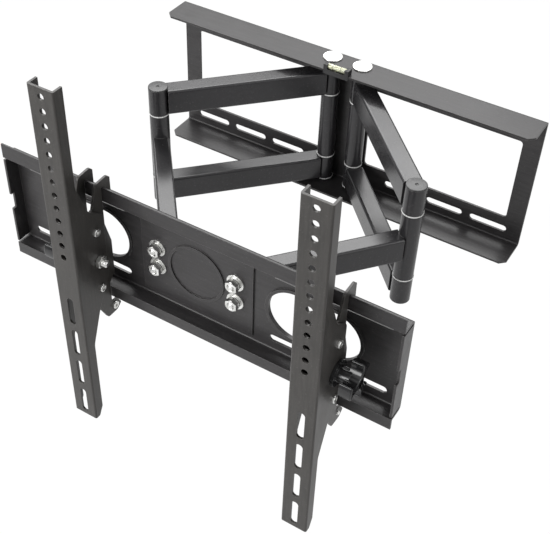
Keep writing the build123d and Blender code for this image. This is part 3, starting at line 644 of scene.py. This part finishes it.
def safety_hardware(side):
    # A socket screw across the foot of the bracket, with its head on the side nearer the middle
    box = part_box(f"{side}_safety_screw")
    middle = centre(box)
    outward = -1 if side == "right" else 1
    outer = box[1].x if outward > 0 else box[0].x
    length = box[1].x - box[0].x - SCREW_HEAD_HEIGHT
    screw = screw_head(box[1].z - box[0].z)
    bmesh.ops.transform(screw, matrix=Matrix.Translation((0, 0, length)), verts=screw.verts)
    join(screw, rod(SMALL_SCREW / 2, length * SCREW_OVERLAP_SHARE, length))
    threaded = length * THREADED_SCREW_SHARE
    tip = threaded_end(SMALL_SCREW, SMALL_PITCH, 0, threaded)
    turn_over = Matrix.Translation((0, 0, threaded)) @ Matrix.Rotation(math.pi, 4, "X")
    bmesh.ops.transform(tip, matrix=turn_over, verts=tip.verts)
    join(screw, tip)
    far = outer - outward * (length + SCREW_HEAD_HEIGHT)
    aim(screw, Vector((far, middle.y, middle.z)), (outward, 0, 0))
    keep_piece(screw, f"{side}_safety_socket_screw", ZINC, f"{side}_bracket",
               [f"{side}_safety_screw"])


def hub_hardware():
    # The nuts under the wall plate and the threaded bolt ends below them
    nuts = bmesh.new()
    threads = bmesh.new()
    for (nut_box, bolt_box) in zip(solids_of("hub_nuts"), solids_of("hub_bolts")):
        nut = hex_block(nut_box[1].y - nut_box[0].y, nut_box[1].z - nut_box[0].z, M12)
        join(nuts, aim(nut, centre(nut_box), (0, 0, 1)))
        low = nut_box[0].z - bolt_box[0].z
        middle = centre(bolt_box)
        ridge = thread(HUB_THREAD, WIDE_PITCH, 0, low)
        join(threads, aim(ridge, Vector((middle.x, middle.y, nut_box[0].z)), (0, 0, -1)))
    keep_piece(nuts, "hub_nuts_chamfered", ZINC, "wall_side", ["hub_nuts"])
    keep_piece(threads, "hub_bolt_threads", ZINC, "wall_side")


def elbow_lids(side):
    # The pressed caps on an elbow's knuckles, each with a moulding dimple in the middle
    lids = bmesh.new()
    for box in solids_of(f"{side}_elbow_caps"):
        middle = centre(box)
        upward = 1 if middle.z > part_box(f"{side}_elbow_pin")[1].z - CAP_REACH else -1
        radius = (box[1].x - box[0].x) / 2
        height = box[1].z - box[0].z
        lid = turned([(0, 0), (LID_PLUG, 0), (LID_PLUG, LID_PLUG), (radius - LID_EDGE, LID_PLUG),
                      (radius, LID_PLUG + LID_EDGE)]
                     + arc((radius - LID_ROUND, height - LID_ROUND), LID_ROUND, 0, 90, 4)
                     + [(CAP_DIMPLE + LID_EDGE, height), (CAP_DIMPLE, height - LID_EDGE),
                        (CAP_DIMPLE * 0.6, height - LID_ROUND), (0, height - DIMPLE_DEPTH)])
        inner_z = box[0].z if upward > 0 else box[1].z
        join(lids, aim(lid, Vector((middle.x, middle.y, inner_z)), (0, 0, upward)))
    keep_piece(lids, f"{side}_elbow_lids", CAP_PLASTIC, f"{side}_rear_arm",
               [f"{side}_elbow_caps"])


def spirit_level():
    # A clear tube of tinted liquid, with a bubble and a line at each end of it
    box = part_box("level_vial")
    middle = centre(box)
    radius = (box[1].z - box[0].z) / 2
    half = (box[1].x - box[0].x) / 2
    tube = turned([(0, -half)] + arc((radius - VIAL_ROUND, VIAL_ROUND - half), VIAL_ROUND, -90, 0, 5)
                  + arc((radius - VIAL_ROUND, half - VIAL_ROUND), VIAL_ROUND, 0, 90, 5) + [(0, half)])
    keep_piece(aim(tube, middle, (1, 0, 0)), "vial_tube", CLEAR, "wall_side", ["level_vial"])
    inner = radius - VIAL_WALL
    reach = half - VIAL_END
    blunt = inner * LIQUID_END_SHARE
    liquid = turned([(0, -reach), (blunt, -reach), (inner, VIAL_ROUND - reach), (inner, reach - VIAL_ROUND),
                     (blunt, reach), (0, reach)])
    keep_piece(aim(liquid, middle, (1, 0, 0)), "vial_liquid", LIQUID, "wall_side")
    bubble = bmesh.new()
    bmesh.ops.create_uvsphere(bubble, u_segments=24, v_segments=12, radius=1.0)
    shape = Matrix.Diagonal((BUBBLE_LENGTH / 2, inner * BUBBLE_WIDTH_SHARE, inner * BUBBLE_HEIGHT_SHARE, 1.0))
    place = Matrix.Translation(middle + Vector((0, 0, inner * BUBBLE_RISE_SHARE)))
    bmesh.ops.transform(bubble, matrix=place @ shape, verts=bubble.verts)
    keep_piece(bubble, "vial_bubble", CLEAR, "wall_side")
    lines = bmesh.new()
    rim = radius + LINE_PROUD
    sunk = radius - LINE_SINK
    for x in (-BUBBLE_LENGTH / 2 - LINE_GAP, BUBBLE_LENGTH / 2 + LINE_GAP):
        band = turned([(sunk, -VIAL_LINE / 2), (rim, -VIAL_LINE / 2), (rim, VIAL_LINE / 2),
                       (sunk, VIAL_LINE / 2)], closed=True)
        join(lines, aim(band, middle + Vector((x, 0, 0)), (1, 0, 0)))
    keep_piece(lines, "vial_lines", LINE_INK, "wall_side")


def set_camera():
    forward = Vector((-math.sin(CAMERA_AZIMUTH) * math.cos(CAMERA_ELEVATION),
                      math.cos(CAMERA_AZIMUTH) * math.cos(CAMERA_ELEVATION), -math.sin(CAMERA_ELEVATION)))
    level = Vector((math.cos(CAMERA_AZIMUTH), math.sin(CAMERA_AZIMUTH), 0))
    rise = level.cross(forward)
    right = math.cos(CAMERA_ROLL) * level + math.sin(CAMERA_ROLL) * rise
    up = -math.sin(CAMERA_ROLL) * level + math.cos(CAMERA_ROLL) * rise
    data = bpy.data.cameras.new("camera")
    data.sensor_fit = "HORIZONTAL"
    data.sensor_width = SENSOR
    data.lens = SENSOR * FOCAL_PIXELS / PICTURE_WIDTH
    data.shift_x = (PICTURE_WIDTH / 2 - MIDDLE_X) / PICTURE_WIDTH
    data.shift_y = (MIDDLE_Y - PICTURE_HEIGHT / 2) / PICTURE_WIDTH
    data.clip_start = 0.05
    data.clip_end = 50
    camera = bpy.data.objects.new("camera", data)
    bpy.context.scene.collection.objects.link(camera)
    turn = Matrix((right, up, -forward)).transposed().to_4x4()
    camera.matrix_world = Matrix.Translation(CAMERA_PLACE) @ turn
    bpy.context.scene.camera = camera


def white_backdrop(tree, light_strength):
    # The world is plain white to the camera and in mirrors, and a softer light on the object
    paths = add(tree, "ShaderNodeLightPath")
    seen = math_node(tree, "MAXIMUM", paths.outputs["Is Camera Ray"], paths.outputs["Is Transmission Ray"])
    mirrored = math_node(tree, "MAXIMUM", seen, paths.outputs["Is Glossy Ray"])
    return ranged(tree, mirrored, 0.0, 1.0, light_strength, 1.0)


def set_world():
    world = bpy.data.worlds.new("studio")
    bpy.context.scene.world = world
    world.use_nodes = True
    tree = world.node_tree
    backdrop = tree.nodes["Background"]
    backdrop.inputs["Color"].default_value = WHITE
    tree.links.new(white_backdrop(tree, WORLD_LIGHT), backdrop.inputs["Strength"])


def soft_box(name, place, target, width, height, power):
    data = bpy.data.lights.new(name, "AREA")
    data.shape = "RECTANGLE"
    data.size = width
    data.size_y = height
    data.energy = power
    lamp = bpy.data.objects.new(name, data)
    bpy.context.scene.collection.objects.link(lamp)
    aim_turn = (Vector(target) - Vector(place)).to_track_quat("-Z", "Y").to_matrix().to_4x4()
    lamp.matrix_world = Matrix.Translation(place) @ aim_turn


def set_lamps():
    middle = centre((cad_low, cad_high))
    soft_box("top_back_box", (-0.9, 1.1, 1.9), middle, 2.2, 1.4, 60)
    soft_box("front_box", (-0.8, -2.1, 0.8), middle, 1.3, 1.0, 36)
    soft_box("right_strip", (1.9, -0.4, 0.7), middle, 0.5, 1.6, 8)


def set_floor():
    bm = bmesh.new()
    bmesh.ops.create_grid(bm, x_segments=1, y_segments=1, size=FLOOR_HALF)
    bmesh.ops.translate(bm, verts=bm.verts, vec=(0, 0, cad_low.z - FLOOR_DROP))
    mesh = bpy.data.meshes.new("floor")
    bm.to_mesh(mesh)
    bm.free()
    floor = bpy.data.objects.new("floor", mesh)
    bpy.context.scene.collection.objects.link(floor)
    material, tree, surface = start_material("pale_floor")
    tree.nodes.remove(surface)
    diffuse = add(tree, "ShaderNodeBsdfDiffuse", {"Color": FLOOR_GREY})
    glow = add(tree, "ShaderNodeEmission", {"Color": WHITE, "Strength": FLOOR_GLOW})
    paths = add(tree, "ShaderNodeLightPath")
    share = math_node(tree, "MULTIPLY", paths.outputs["Is Camera Ray"], FLOOR_GLOW_SHARE)
    blend = add(tree, "ShaderNodeMixShader", {0: share, 1: diffuse.outputs[0], 2: glow.outputs[0]})
    tree.links.new(blend.outputs[0], tree.nodes["Material Output"].inputs["Surface"])
    mesh.materials.append(material)


finish_nodes()
level_hardware()
hub_hardware()
spirit_level()
for side_name in ("left", "right"):
    guide_hardware(side_name)
    lock_hardware(side_name)
    safety_hardware(side_name)
    elbow_lids(side_name)
set_camera()
set_world()
set_lamps()
set_floor()
bpy.context.scene.view_settings.view_transform = "Standard"
